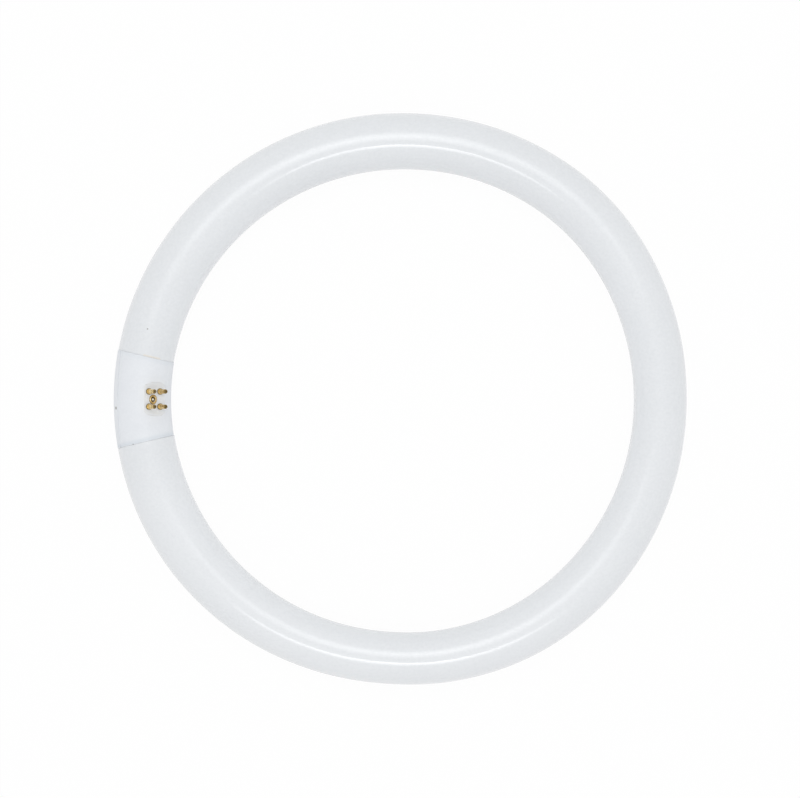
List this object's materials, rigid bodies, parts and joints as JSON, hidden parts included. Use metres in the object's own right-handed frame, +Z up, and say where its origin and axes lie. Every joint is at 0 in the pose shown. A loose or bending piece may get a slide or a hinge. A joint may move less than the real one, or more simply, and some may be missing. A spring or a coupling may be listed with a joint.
{
  "type": "circular fluorescent tube",
  "caption": "Circular fluorescent tube: a white glass ring whose ends meet in a two-part plastic cap, with tilted hollow brass pins for a lamp holder.",
  "frame": {"origin": "on the resting surface, under the centre of the ring", "axes": "+Z up along the ring's axis; the cap is on the -X side, and its pins lean from +Z towards +X"},
  "size_m": [0.3053, 0.305, 0.0333],
  "materials": {
    "coated_glass": "clear gloss glass over a white inner coating",
    "cap_plastic": "satin moulded",
    "pin_brass": "slightly tarnished",
    "lead_metal": "drawn wire"
  },
  "bodies": {
    "root": {"glass_tube": "coated_glass", "cap_pin_half": "cap_plastic", "cap_rear_half": "cap_plastic", "cap_rivet": "pin_brass", "contact_pin_1": "pin_brass", "lead_wire_1": "lead_metal", "contact_pin_2": "pin_brass", "lead_wire_2": "lead_metal", "contact_pin_3": "pin_brass", "lead_wire_3": "lead_metal", "contact_pin_4": "pin_brass", "lead_wire_4": "lead_metal"}
  },
  "joints": []
}
